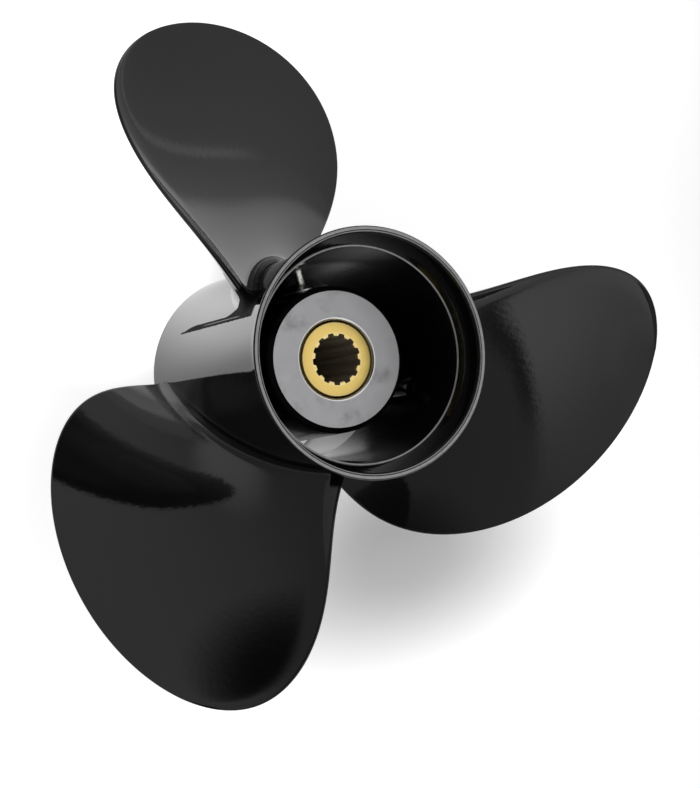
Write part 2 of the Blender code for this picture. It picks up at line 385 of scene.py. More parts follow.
def paint_finish():
    """Gloss black over a cast surface, duller inside the barrel and tinted a touch lighter there as
    painted light, with a dull strip that paints a dark reflection.
    """
    colours = bpy.context.scene.propeller_colours
    finish = Finish.material("gloss_black_paint")
    peel = finish.noise(2.2 * MM, detail=1.0)
    grain = finish.noise(0.5 * MM, detail=1.0)
    cloud = finish.noise(28 * MM, detail=3.0)
    out, _ = finish.axial()
    within = 1.0 - out.above(*INSIDE_BARREL)
    roughness = colours.paint_roughness + 0.03 * (cloud - 0.5) + 0.08 * within
    dusty = tuple(c + 0.001 for c in colours.paint)
    tint = finish.mix(cloud, tuple(colours.paint), dusty)
    # Painted light: the black inside the barrel is a touch lighter.
    tint = finish.mix(within, tint, tuple(c + 0.003 for c in colours.paint))
    cast = finish.bump(peel, 0.35, 0.05 * MM)
    surface = finish.bump(grain, 0.06, 0.02 * MM, under=cast)
    finish.set(Base_Color=tint, Roughness=roughness, Normal=surface, IOR=colours.paint_ior)
    # The dull coat along the strip paints a dark reflection into the barrel's gloss.
    finish.dull_where(dark_reflection_strip(finish), tuple(colours.paint), 0.6)
    return finish.owner


def dark_reflection_strip(finish):
    """1 along a dull strip that paints a dark reflection on the barrel: from each blade's trailing foot
    straight forward.
    """
    x, y, height = finish.split(finish.place)
    out = (x * x + y * y) ** 0.5
    turn = y.math("ARCTAN2", y, x)
    turn = turn.math("WRAP", turn, 2 * math.pi / 3, 0.0)
    low = LINE_LOW + (finish.noise(3 * MM) - 0.5) * 0.012
    low = low + 0.043 * (1.0 - height.above(*LINE_NARROW))
    low = low - 0.104 * height.above(*LINE_WIDER) - 0.11 * height.above(*LINE_WIDEST)
    high = LINE_HIGH + (finish.noise(2 * MM) - 0.5) * 0.016
    past_low = (turn - low).above(-LINE_SOFTNESS, LINE_SOFTNESS)
    past_high = (turn - high).above(-LINE_SOFTNESS, LINE_SOFTNESS)
    streak = turn.between(STREAK_RISE, STREAK_FALL) * height.between(STREAK_START, STREAK_STOP)
    line = past_low * (1.0 - past_high) * (1.0 - 0.45 * streak)
    return line * height.between(LINE_START, LINE_STOP) * (1.0 - out.above(*BARREL_SKIN))


def machined_finish():
    """Bare turned aluminium with lathe marks, handling smudges and a polished round at the bore that
    carries a painted highlight.
    """
    colours = bpy.context.scene.propeller_colours
    finish = Finish.material("machined_aluminium")
    out, _ = finish.axial()
    rings = (out * (2 * math.pi / LATHE_PITCH)).wave() * 0.5 + 0.5
    uneven = finish.noise(6 * MM, detail=4.0)
    smudge = finish.noise(9 * MM, detail=5.0, roughness=0.6).above(0.52, 0.72)
    smudged = tuple(0.72 * c for c in colours.face_metal)
    tint = finish.mix(smudge * 0.45, tuple(colours.face_metal), smudged)
    marks = finish.bump(rings, 0.25, 0.02 * MM)
    roughness = 0.46 + 0.12 * (uneven - 0.5) + 0.10 * smudge
    # The bore's round is polished, and its tint, lightened towards bare metal, paints in its highlight.
    edge = 1.0 - out.above(*ROUND_OF_FACE_BORE)
    roughness = roughness * (1.0 - edge) + 0.2 * edge
    tint = finish.mix(edge * 0.6, tint, tuple(colours.bare))
    finish.set(Base_Color=tint, Metallic=1.0, Roughness=roughness, Normal=marks)
    return finish.owner


def worn_finish():
    """Bare cast aluminium at edges, where the paint has gone."""
    finish = Finish.material("worn_edge")
    colours = bpy.context.scene.propeller_colours
    blotch = finish.noise(1.6 * MM, detail=4.0, roughness=0.6)
    darker, lighter = (tuple(part * c for c in colours.worn) for part in (0.55, 1.35))
    tint = finish.mix(blotch, darker, lighter)
    pits = finish.bump(finish.noise(0.5 * MM, detail=3.0), 0.3, 0.03 * MM)
    finish.set(Base_Color=tint, Metallic=1.0, Roughness=0.42 + 0.2 * (blotch - 0.5), Normal=pits)
    return finish.owner


def bare_and_highlight_finish():
    """Bright, streaky bare metal on the first rib's aft edge: partly worn paint, partly a painted
    highlight.
    """
    colours = bpy.context.scene.propeller_colours
    finish = Finish.material("bare_metal_and_highlight")
    streaks = finish.noise(0.8 * MM, detail=3.0, roughness=0.7)
    tint = finish.mix(streaks.above(0.35, 0.6), DULL_METAL, tuple(colours.bare))
    grooves = finish.bump(streaks, 0.3, 0.05 * MM)
    finish.set(Base_Color=tint, Metallic=1.0, Roughness=0.28 + 0.2 * streaks, Normal=grooves)
    return finish.owner


def brass_finish():
    """Turned brass, granular on its face, with painted highlights at its rims and greasy down the teeth.
    """
    colours = bpy.context.scene.propeller_colours
    finish = Finish.material("turned_brass")
    out, height = finish.axial()
    face = bpy.context.scene.propeller_sleeve.face
    grain = finish.noise(0.7 * MM, detail=3.0, roughness=0.6)
    down = (face - height).above(*GREASE_DEPTH) * (1.0 - out.above(*SLEEVE_BORE))
    rim = out.above(*SLEEVE_OUTER_RIM) + (1.0 - out.above(*SLEEVE_INNER_RIM))
    tint = finish.mix(grain, tuple(0.86 * c for c in colours.brass), tuple(colours.brass))
    # Painted highlight: the sleeve's rims are lightened towards a paler brass.
    tint = finish.mix(rim.clamped() * 0.5, tint, BRASS_RIM_HIGHLIGHT)
    tint = finish.mix(down, tint, finish.mix(grain, THIN_GREASE, THICK_GREASE))
    marks = finish.bump(grain, 0.4, 0.04 * MM)
    roughness = 0.34 + 0.12 * grain + 0.15 * down
    finish.set(Base_Color=tint, Metallic=1.0 - 0.6 * down, Roughness=roughness, Normal=marks)
    return finish.owner


def rubber_finish():
    """Moulded rubber with a faint bloom."""
    colours = bpy.context.scene.propeller_colours
    finish = Finish.material("moulded_rubber")
    bloom = finish.noise(2.5 * MM, detail=4.0)
    tint = finish.mix(bloom * 0.3, tuple(colours.rubber), RUBBER_BLOOM)
    skin = finish.bump(finish.noise(0.4 * MM), 0.3, 0.03 * MM)
    finish.set(Base_Color=tint, Roughness=0.60 + 0.2 * bloom, Normal=skin)
    return finish.owner


# Each finish's maker and the material slot of the part that it belongs to
FINISHES = {
    "paint": (paint_finish, "black_paint"),
    "machined": (machined_finish, "black_paint"),
    "worn": (worn_finish, "black_paint"),
    "bare": (bare_and_highlight_finish, "black_paint"),
    "brass": (brass_finish, "brass"),
    "rubber": (rubber_finish, "black_rubber"),
}


def finish_named(key):
    """The material of this finish, made once and remembered in the scene."""
    maker, _ = FINISHES[key]
    label = "finish " + key
    if label not in bpy.context.scene:
        bpy.context.scene[label] = maker().name
    return bpy.data.materials[bpy.context.scene[label]]


# Shapes

# Rounds of the barrel's outline, and how many points draw its flare and its throat
RIM_ROUND, PARTING_ROUND = 0.5 * MM, 6 * MM
FLARE_POINTS, THROAT_POINTS = 18, 11

# Rounds of the inner hub's outline, its shoulder's drop and the depth of the thrust seat
FRONT_ROUND, WAIST_ROUND, SHOULDER_ROUND, BORE_ROUND = 1.0 * MM, 8.0 * MM, 2.0 * MM, 1.2 * MM
SHOULDER_DROP, SEAT_DEPTH = 2.0 * MM, 2.5 * MM

# Round of a rib's edges, how far its fillets stand off the two walls, and its depth in them
RIB_ROUND, OFF_HUB, OFF_BARREL, RIB_DEPTH = 1.2 * MM, 0.6 * MM, 1.2 * MM, 2 * MM
# Depth of the first rib's aft edge that is bright bare metal, partly a painted highlight
RIB_HIGHLIGHT_EDGE = 0.9 * MM


def piece_from(name, builder, finishes, sharp_degrees=40.0, weighted=False):
    """Turns a bmesh into a piece that rides on the body, with its finishes in order."""
    bmesh.ops.recalc_face_normals(builder, faces=builder.faces)
    mesh = bpy.data.meshes.new(name)
    builder.to_mesh(mesh)
    builder.free()
    mesh.shade_smooth()
    mesh.set_sharp_from_angle(angle=math.radians(sharp_degrees))
    piece = bpy.data.objects.new(name, mesh)
    bpy.context.scene.collection.objects.link(piece)
    for key in finishes:
        mesh.materials.append(finish_named(key))
    if weighted:
        shading = piece.modifiers.new("flat stretches stay true", "WEIGHTED_NORMAL")
        shading.keep_sharp = True
        shading.weight = 100
    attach(piece, BODY)
    return piece


def turned(outline, segments):
    """A bmesh of the closed (radius, height) outline, turned about Z."""
    builder = bmesh.new()
    points = [builder.verts.new((radius, 0.0, height)) for radius, height in outline]
    edges = [builder.edges.new((points[i - 1], points[i])) for i in range(len(points))]
    bmesh.ops.spin(
        builder, geom=points + edges, cent=(0, 0, 0), axis=(0, 0, 1),
        angle=2 * math.pi, steps=segments, use_merge=True, use_duplicate=False,
    )
    bmesh.ops.remove_doubles(builder, verts=builder.verts, dist=1e-7)
    return builder


def join_loops(builder, loops):
    """Quads between each two loops of points that follow each other."""
    for lower, upper in zip(loops, loops[1:]):
        for i in range(len(lower)):
            j = (i + 1) % len(lower)
            builder.faces.new((lower[i], lower[j], upper[j], upper[i]))


def turn_about_shaft(builder, turn_by):
    matrix = Matrix.Rotation(turn_by, 3, "Z")
    bmesh.ops.rotate(builder, verts=builder.verts, cent=(0, 0, 0), matrix=matrix)


def rounded_corner(before, corner, after, radius, steps=5):
    """Points of a round of this radius between two straight stretches of an outline."""
    corner = Vector(corner)
    to_before = (Vector(before) - corner).normalized()
    to_after = (Vector(after) - corner).normalized()
    half = to_before.angle(to_after) / 2
    reach = radius / math.tan(half)
    centre = corner + (to_before + to_after).normalized() * (radius / math.sin(half))
    start, end = corner + to_before * reach - centre, corner + to_after * reach - centre
    turn = start.angle(end)
    points = []
    for step in range(steps + 1):
        part = step / steps
        weights = math.sin((1 - part) * turn) / math.sin(turn), math.sin(part * turn) / math.sin(turn)
        points.append(tuple(centre + start * weights[0] + end * weights[1]))
    return points


def softened(corners, segments=5):
    """A closed outline from (radius, height, round) corners, with each corner rounded."""
    outline = []
    for i, (radius, height, rounding) in enumerate(corners):
        before, after = corners[i - 1][:2], corners[(i + 1) % len(corners)][:2]
        if rounding:
            outline += rounded_corner(before, (radius, height), after, rounding, segments)
        else:
            outline.append((radius, height))
    return outline


def flare_radius(sizes, height):
    """Radius of the flare's outside at this height."""
    part_way = max(0.0, (height - sizes.flare_start) / (BARREL_TOP - sizes.flare_start))
    return sizes.radius + (sizes.ring_radius - sizes.radius) * part_way**sizes.flare_power


def outer_radius(sizes, height):
    """Radius of the barrel's outside, which tapers a little from the flare to the rim."""
    if height > sizes.flare_start:
        return flare_radius(sizes, height)
    return sizes.rim_radius + (sizes.radius - sizes.rim_radius) * height / sizes.flare_start


def barrel_outline(sizes):
    """The wall from the front rim up the outside, over the lip, and down the inside."""
    top = BARREL_TOP
    corners = [(sizes.rim_inner, 0.0, RIM_ROUND), (sizes.rim_radius, 0.0, RIM_ROUND)]
    heights = np.linspace(sizes.flare_start, top - 2 * sizes.lip_outer_round, FLARE_POINTS)
    corners += [(flare_radius(sizes, height), height, 0.0) for height in heights]
    corners += [
        (sizes.ring_radius, top, sizes.lip_outer_round),
        (sizes.ring_inner + sizes.lip_land, top, 0.0),
        (sizes.ring_inner, top, sizes.lip_inner_round),
    ]
    throat = (sizes.ring_inner, top - 3 * sizes.lip_inner_round)
    foot = (sizes.step_radius + sizes.step_width, sizes.step_height + sizes.step_rise)
    corners.append((*throat, 0.0))
    for part in np.linspace(0, 1, THROAT_POINTS)[1:-1]:
        radius = foot[0] + (throat[0] - foot[0]) * (1 - part) ** sizes.throat_power
        corners.append((radius, throat[1] + (foot[1] - throat[1]) * part, 0.0))
    corners += [
        (*foot, sizes.step_round),
        (sizes.step_radius, sizes.step_height, sizes.step_round),
        (sizes.parting_inner, sizes.parting_height, PARTING_ROUND),
    ]
    return softened(corners, 6)


def bare_edges(builder, sizes):
    """Gives the worn metal finish, the second one, to the lip and to the step's edge."""
    land = sizes.step_radius + sizes.step_width + 0.1 * MM
    for face in builder.faces:
        middle = face.calc_center_median()
        out = math.hypot(middle.x, middle.y)
        below = BARREL_TOP - middle.z
        on_lip = below < 0.1 * sizes.lip_outer_round and out > sizes.ring_inner + sizes.lip_land
        in_round = below < sizes.lip_inner_round and out < sizes.ring_inner + sizes.lip_inner_round
        on_step = out < land and abs(middle.z - sizes.step_height) < 2 * sizes.step_rise
        if on_lip or in_round or on_step:
            face.material_index = 1


class PROPELLER_OT_make_barrel(bpy.types.Operator):
    """Make the hollow barrel with its flared ring"""

    bl_idname = "propeller.make_barrel"
    bl_label = "Make Barrel"

    def execute(self, context):
        sizes = context.scene.propeller_barrel
        builder = turned(barrel_outline(sizes), 256)
        bare_edges(builder, sizes)
        barrel = piece_from("barrel", builder, ["paint", "worn"], weighted=True)
        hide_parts(CASTING_NODE)
        return {"FINISHED"}


def inner_hub_outline(sizes, parting_height):
    """Up the outside, over the machined face and down the bores."""
    top, lip_floor = sizes.face_height, sizes.face_height - sizes.lip_thickness
    return softened(
        [
            (sizes.thrust_seat, sizes.front, 0.0),
            (sizes.front_radius, sizes.front, FRONT_ROUND),
            (sizes.waist, parting_height, WAIST_ROUND),
            (sizes.shoulder, top - SHOULDER_DROP, SHOULDER_ROUND),
            (sizes.face_radius, top, 0.0),
            (sizes.lip_radius, top, BORE_ROUND),
            (sizes.lip_radius, lip_floor, 0.0),
            (sizes.bush_bore, lip_floor, 0.0),
            (sizes.bush_bore, sizes.front + SEAT_DEPTH, 0.0),
        ],
        6,
    )


def machined_faces(builder, sizes):
    """Gives the machined finish, the second one, to the turned face and the bores."""
    limit = sizes.face_radius + 0.1 * MM
    for face in builder.faces:
        middle = face.calc_center_median()
        out = math.hypot(middle.x, middle.y)
        if out < limit and middle.z > sizes.face_height - 0.6 * MM or out < sizes.bush_bore + 0.1 * MM:
            face.material_index = 1


class PROPELLER_OT_make_inner_hub(bpy.types.Operator):
    """Make the inner hub with its machined aft face"""

    bl_idname = "propeller.make_inner_hub"
    bl_label = "Make Inner Hub"

    def execute(self, context):
        sizes, barrel = context.scene.propeller_hub, context.scene.propeller_barrel
        builder = turned(inner_hub_outline(sizes, barrel.parting_height), 192)
        machined_faces(builder, sizes)
        piece_from("inner_hub", builder, ["paint", "machined"], sharp_degrees=30.0, weighted=True)
        return {"FINISHED"}


def rib_loop(sizes, spread, corner_steps=4):
    """Points round the rib's section, seen along its length, grown by the fillet's spread."""
    half = sizes.rib_thickness / 2 + spread
    low, high = sizes.rib_front - spread, sizes.rib_aft + spread
    corner = min(half, RIB_ROUND + spread)
    points = []
    for side, end, start in ((1, high, 0), (-1, high, 90), (-1, low, 180), (1, low, 270)):
        centre = (side * (half - corner), end + corner * (-1 if end == high else 1))
        for step in range(corner_steps + 1):
            turn = math.radians(start + 90 * step / corner_steps)
            points.append((centre[0] + corner * math.cos(turn), centre[1] + corner * math.sin(turn)))
    return points


def rib(sizes, barrel, turn_by):
    """A radial web, with fillets where it meets the inner hub and the barrel."""
    builder = bmesh.new()
    inner, outer = sizes.shoulder + OFF_HUB, barrel.parting_inner + OFF_BARREL
    fillet = sizes.rib_fillet
    stations = []
    for step in range(7):
        turn = math.radians(90 * step / 6)
        stations.append((inner + fillet * (1 - math.cos(turn)), fillet * (1 - math.sin(turn))))
    stations = [(inner - RIB_DEPTH, fillet)] + stations
    stations += [(outer + inner - out, spread) for out, spread in reversed(stations)]
    loops = [
        [builder.verts.new((out, y, z)) for y, z in rib_loop(sizes, spread)] for out, spread in stations
    ]
    join_loops(builder, loops)
    builder.faces.new(loops[0])
    builder.faces.new(loops[-1])
    turn_about_shaft(builder, turn_by)
    return builder


class PROPELLER_OT_make_ribs(bpy.types.Operator):
    """Make the three ribs that carry the inner hub"""

    bl_idname = "propeller.make_ribs"
    bl_label = "Make Ribs"

    def execute(self, context):
        sizes, barrel = context.scene.propeller_hub, context.scene.propeller_barrel
        for i in range(3):
            turn_by = sizes.rib_angle + 2 * math.pi * i / 3
            builder = rib(sizes, barrel, turn_by)
            # Only the first rib's aft edge gets the bright bare metal, partly as a painted highlight.
            if i == 0:
                for face in builder.faces:
                    at_edge = face.calc_center_median().z > sizes.rib_aft - RIB_HIGHLIGHT_EDGE
                    face.material_index = int(at_edge)
            piece_from(f"rib_{i + 1}", builder, ["paint", "bare"])
        return {"FINISHED"}


# At five shares of a blade's span: its chord in metres, and the turn of its middle in degrees
SPAN_STATIONS = (0.0, 0.25, 0.5, 0.75, 1.0)
CHORD_FULLNESS = (0.1097, 0.1279, 0.1559, 0.1774, 0.1890)
MID_ANGLE = (5.5, 1.9, 4.1, 10.3, 19.3)

# How many points draw a section, and how many sections a blade
CHORD_POINTS = 72
SPAN_POINTS = 96

# How the thickness falls towards the tip and towards the edges
THINNING_POWER, FULLNESS_POWER = 1.2, 0.75

# Share of the cup that has gone at the tip, and what brings x**3 * (1 - x) to a peak of 1
CUP_FADE, SAG_PEAK = 0.7, 9.48

# Radians by which the last section stops short of the tip, where the chord would be 0
TIP_GAP = 0.006


def through_stations(values, span):
    """A smooth curve through the values at the five blade stations."""
    return np.polyval(np.polyfit(SPAN_STATIONS, values, len(SPAN_STATIONS) - 1), span)


def blade_section(sizes, radius, fillet):
    """Points round the section at this radius: along its face, then back along its suction side."""
    span = (radius - sizes.root_radius) / (sizes.tip_radius - sizes.root_radius)
    above_root = radius - sizes.root_radius
    slope = math.atan2(sizes.pitch, 2 * math.pi * radius)
    leading, trailing = sizes.leading_fillet * fillet, sizes.trailing_fillet * fillet
    bare_chord = through_stations(CHORD_FULLNESS, span) * math.sqrt(max(0.0, 1 - span**2))
    chord = bare_chord + leading + trailing
    mid = math.radians(through_stations(MID_ANGLE, span))
    rake = sizes.rake_slope * above_root + sizes.rake_curve * above_root**2
    thinning = max(0.0, 1 - span) ** THINNING_POWER
    thickest = sizes.tip_thickness + (sizes.root_thickness - sizes.tip_thickness) * thinning
    stations = (1 - np.cos(np.pi * np.linspace(0, 1, CHORD_POINTS + 1))) / 2
    along = chord * stations - leading - bare_chord / 2
    fullness = (4 * stations * (1 - stations)) ** FULLNESS_POWER
    bare = sizes.edge_thickness + (thickest - sizes.edge_thickness) * fullness
    at_ends = leading + (trailing - leading) * stations
    grown = at_ends + (fillet - at_ends) * fullness
    edge = sizes.edge_thickness + 2 * np.where(stations < 0.5, leading, trailing)
    from_edge = chord * np.minimum(stations, 1 - stations)
    nose = np.sqrt(1 - (1 - np.minimum(1.0, from_edge / (edge / 2))) ** 2)
    curl = np.maximum(0.0, 1 - chord * (1 - stations) / sizes.cup_width) ** 2
    cup = sizes.cup_depth * (1 - CUP_FADE * max(0.0, span) ** 2) * curl
    half = bare / 2 + grown
    bend = sizes.camber * 4 * stations * (1 - stations)
    bend += sizes.sag * SAG_PEAK * stations**3 * (1 - stations)
    middle = cup - bare / 2 - bend * bare_chord
    to_swell_end = (sizes.swell_end - radius) / (sizes.swell_end - sizes.root_radius)
    swell = sizes.swell * max(0.0, to_swell_end) ** 2
    loop = []
    aft = middle + (half + swell * fullness) * nose
    fore = middle - (bare / 2 + sizes.back_fillet * grown) * nose
    for offsets, order in ((aft, range(CHORD_POINTS + 1)), (fore, range(CHORD_POINTS - 1, 0, -1))):
        for i in order:
            turn = mid + along[i] * math.cos(slope) / radius
            height = sizes.face_height + sizes.pitch * turn / (2 * math.pi) + rake
            turn -= offsets[i] * math.sin(slope) / radius
            height += offsets[i] * math.cos(slope)
            loop.append((turn, height))
    return loop


def blade_stations(sizes, wall):
    """(radius, fillet, share of the barrel's taper) from under the skin out to the tip."""
    stations = [(wall - 1.0 * MM, sizes.fillet, 1.0)]
    for turn in np.radians(np.linspace(0, 90, 19)):
        rise, spread = sizes.fillet * (1 - math.cos(turn)), sizes.fillet * (1 - math.sin(turn))
        stations.append((wall + rise, spread, spread / sizes.fillet))
    span = sizes.tip_radius - sizes.root_radius
    start = math.asin((stations[-1][0] - sizes.root_radius) / span)
    turns = np.linspace(start, math.pi / 2, SPAN_POINTS + 1)[1:]
    turns[-1] = math.pi / 2 - TIP_GAP
    stations += [(sizes.root_radius + span * math.sin(turn), 0.0, 0.0) for turn in turns]
    return stations


def blade_loop(sizes, barrel, radius, fillet, taper_share):
    """The section's points in space; near the root they follow the barrel's taper."""
    points = []
    for turn, height in blade_section(sizes, radius, fillet):
        out = radius + taper_share * (outer_radius(barrel, height) - barrel.radius)
        points.append((out * math.cos(turn), out * math.sin(turn), height))
    return points


def blade(sizes, barrel, turn_by):
    """A closed skin through the blade's sections, turned to its place."""
    builder = bmesh.new()
    loops = []
    for station in blade_stations(sizes, barrel.radius):
        loops.append([builder.verts.new(point) for point in blade_loop(sizes, barrel, *station)])
    join_loops(builder, loops)
    for ends in (loops[0], loops[-1]):
        builder.faces.new((ends[0], ends[1], ends[-1]))
        for i in range(1, CHORD_POINTS - 1):
            builder.faces.new((ends[i], ends[i + 1], ends[-i - 1], ends[-i]))
        builder.faces.new((ends[CHORD_POINTS - 1], ends[CHORD_POINTS], ends[CHORD_POINTS + 1]))
    turn_about_shaft(builder, turn_by)
    return builder


class PROPELLER_OT_make_blades(bpy.types.Operator):
    """Make the three blades with their root fillets"""

    bl_idname = "propeller.make_blades"
    bl_label = "Make Blades"

    def execute(self, context):
        sizes, barrel = context.scene.propeller_blades, context.scene.propeller_barrel
        for i in range(3):
            builder = blade(sizes, barrel, 2 * math.pi * i / 3)
            piece_from(f"blade_{i + 1}", builder, ["paint"], sharp_degrees=60.0)
        return {"FINISHED"}


class PROPELLER_OT_make_bush(bpy.types.Operator):
    """Make the rubber shock bush"""

    bl_idname = "propeller.make_bush"
    bl_label = "Make Rubber Bush"

    def execute(self, context):
        sizes, hub = context.scene.propeller_sleeve, context.scene.propeller_hub
        inner, outer = sizes.radius + sizes.gap, hub.bush_bore - sizes.gap
        aft = hub.face_height - hub.lip_thickness - sizes.gap
        corners = [
            (outer, sizes.bush_front, 0.8 * MM),
            (outer, aft, 0.5 * MM),
            (inner, aft, 0.2 * MM),
            (inner, sizes.bush_front, 0.3 * MM),
        ]
        bush = piece_from("rubber_bush_look", turned(softened(corners), 128), ["rubber"])
        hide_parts(BUSH_NODE)
        return {"FINISHED"}


# Points for each tooth, then where its flank ends and how wide it is, as shares of its pitch
POINTS_PER_TOOTH = 24
TOOTH_FOOT, TOOTH_FLANK = 0.29, 0.13

# Shares of the lead-in cone at which its rings lie
CONE_PARTS = (0.0, 0.25, 0.5, 0.75, 1.0)


def bore_radius(sizes, turn, widest):
    """Radius of the splined bore at this angle, opened to the lead-in cone's radius."""
    place = (turn - sizes.tooth_phase) * sizes.teeth / (2 * math.pi)
    from_tooth = abs(place - round(place))
    rise = min(1.0, max(0.0, (TOOTH_FOOT - from_tooth) / TOOTH_FLANK))
    rise = rise * rise * (3 - 2 * rise)
    return max(sizes.tooth_root + (sizes.tooth_tip - sizes.tooth_root) * rise, widest)


def splined_sleeve(sizes):
    """A turned tube whose bore has spline teeth between its two lead-in cones."""
    builder = bmesh.new()
    count = sizes.teeth * POINTS_PER_TOOTH
    turns = [sizes.tooth_phase + 2 * math.pi * i / count for i in range(count)]
    cone = sizes.tooth_tip + sizes.lead_in
    rings = [
        (sizes.radius, sizes.front + sizes.chamfer, None),
        (sizes.radius, sizes.face - sizes.chamfer, None),
        (sizes.radius - 0.3 * sizes.chamfer, sizes.face - 0.3 * sizes.chamfer, None),
        (sizes.radius - sizes.chamfer, sizes.face, None),
    ]
    aft, fore = (sizes.face, -sizes.lead_in), (sizes.front, sizes.lead_in)
    for (end, depth), parts in ((aft, CONE_PARTS), (fore, CONE_PARTS[::-1])):
        for part in parts:
            opened = cone + (sizes.tooth_tip - cone) * part
            rings.append((None, end + depth * part, opened))
    rings.append((sizes.radius - sizes.chamfer, sizes.front, None))
    loops = []
    for radius, height, widest in rings:
        loop = []
        for turn in turns:
            at = radius if widest is None else bore_radius(sizes, turn, widest)
            loop.append(builder.verts.new((at * math.cos(turn), at * math.sin(turn), height)))
        loops.append(loop)
    join_loops(builder, loops + loops[:1])
    return builder


class PROPELLER_OT_make_sleeve(bpy.types.Operator):
    """Make the splined brass sleeve"""

    bl_idname = "propeller.make_sleeve"
    bl_label = "Make Splined Sleeve"

    def execute(self, context):
        builder = splined_sleeve(context.scene.propeller_sleeve)
        sleeve = piece_from("splined_sleeve_look", builder, ["brass"], sharp_degrees=30.0)
        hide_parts(SLEEVE_NODE)
        return {"FINISHED"}


# Stage

CAMERA_PLACE = (0.01506, 0.33923, 0.8422)
CAMERA_RIGHT = (-0.22616, -0.88276, 0.41182)
CAMERA_UP = (0.97343, -0.22038, 0.06218)
FLOOR_GAP = 0.2 * MM

# The big round lamp: its direction, and the angles over which its light and its frame fade out
LAMP_CENTRE, LAMP_EDGE, FRAME_EDGE = (-86.4, 37.1), (76.7, 80.0), (79.2, 83.8)

# Parts of the room: azimuth, elevation, inner and outer angle in degrees, and how bright or dark
LAMP_SIDE = (165, 14, 1, 49, 0.95)
FRAME_SIDE = (157, 4, 33, 46, 0.75)
LOW_STRIP = (-84, 0, 8, 20, 0.35)
SOFT_BOXES = (
    (9, 3, 6, 20, 0.6),
    (-92, 50, 15, 90, 0.26),
    (-95, 70, 8, 38, 0.35),
    (-12, 38, 5, 55, 0.18),
    (-80, 8, 20, 60, 0.06),
)
DARK_GAPS = ((78, 46, 14, 34, 0.75), (45, 45.5, 4, 23, 1.0), (33, 53, 1, 23, 1.0))

# Sines of the elevations over which the low strip ends, and how bright the camera sees the room
STRIP_TOP = (0.012, 0.03)
BACKDROP = 0.95

# Bands where the table's painted glow is full, fading to the far glow outside: the direction across each
# in degrees, its two edges and its fade in mm
LIT_BANDS = ((-104, -112, 152, 195), (-13, -195, 176, 90))

# Pools of light and patches of shade painted into the table's glow: place and inner and outer radius in
# mm, then their share of the light
POOLS = ((62, 52, 15, 58, 1.0), (122, 42, 15, 62, 0.6), (118, 152, 15, 80, 0.8))
OTHER_PATCHES = ((50, -130, 60, 150, -0.13), (310, 110, 100, 150, 0.6))
# Place and inner and outer radius in mm of the shadow painted in one corner, and the factor on its
# distances along the table's second axis
SHADE_PATCH, SHADE_NARROWING = (-93, -52, 8, 68), 0.55

# Radii in mm over which, under the barrel, painted light takes the place of the table's glow, painted
# shade sets in near the wall, and painted shade sets in under the inner hub
UNDER_BARREL, AT_WALL, UNDER_HUB = (37.5, 41.0), (36.5, 38.0), (18, 28)
# Span across the table over which the painted light inside the barrel fades from its bright side to its
# dark side
LIT_SIDE = (-28 * MM, 16 * MM)


def towards(azimuth, elevation):
    """Unit vector with this azimuth and elevation, in degrees."""
    turn, rise = math.radians(azimuth), math.radians(elevation)
    return Vector((math.cos(rise) * math.cos(turn), math.cos(rise) * math.sin(turn), math.sin(rise)))


def soft_light(name, azimuth, elevation, distance, size, power):
    """A round light that faces the middle of the propeller."""
    lamp = bpy.data.lights.new(name, "AREA")
    lamp.shape = "DISK"
    lamp.size = size
    lamp.energy = power
    made = bpy.data.objects.new(name, lamp)
    middle = Vector((0, 0, BARREL_TOP / 2))
    made.location = middle + towards(azimuth, elevation) * distance
    made.rotation_euler = (-towards(azimuth, elevation)).to_track_quat("-Z", "Y").to_euler()
    bpy.context.scene.collection.objects.link(made)


def surroundings(studio):
    """A dim room: a big round lamp with a dark frame, soft boxes, a low strip and dark gaps."""
    room = Finish(bpy.data.worlds.new("surroundings"), "Background")
    facing = room.node("ShaderNodeTexCoord", output="Generated")

    def near(azimuth, elevation, inner, outer, most=1.0):
        """The most within the inner angle of a direction, fading to 0 at the outer one."""
        centre = tuple(towards(azimuth, elevation))
        cosine = room.node(
            "ShaderNodeVectorMath", {"operation": "DOT_PRODUCT"}, {0: facing, 1: centre}, output="Value"
        )
        return most * cosine.above(math.cos(math.radians(outer)), math.cos(math.radians(inner)))

    lamp = near(*LAMP_CENTRE, *LAMP_EDGE)
    light = studio.room + near(*LAMP_SIDE) * lamp
    rise = room.split(facing)[2]
    light = light + (1.0 - rise.above(*STRIP_TOP)) * near(*LOW_STRIP)
    for soft_box in SOFT_BOXES:
        light = light + near(*soft_box)
    frame_of_lamp = near(*LAMP_CENTRE, *FRAME_EDGE) - lamp
    light = light * (1.0 - frame_of_lamp * near(*FRAME_SIDE))
    for gap in DARK_GAPS:
        light = light * (1.0 - near(*gap))
    seen = room.node("ShaderNodeLightPath", output="Is Camera Ray")
    room.set(Color=(1.0, 1.0, 1.0), Strength=light * (1.0 - seen) + BACKDROP * seen)
    return room.owner


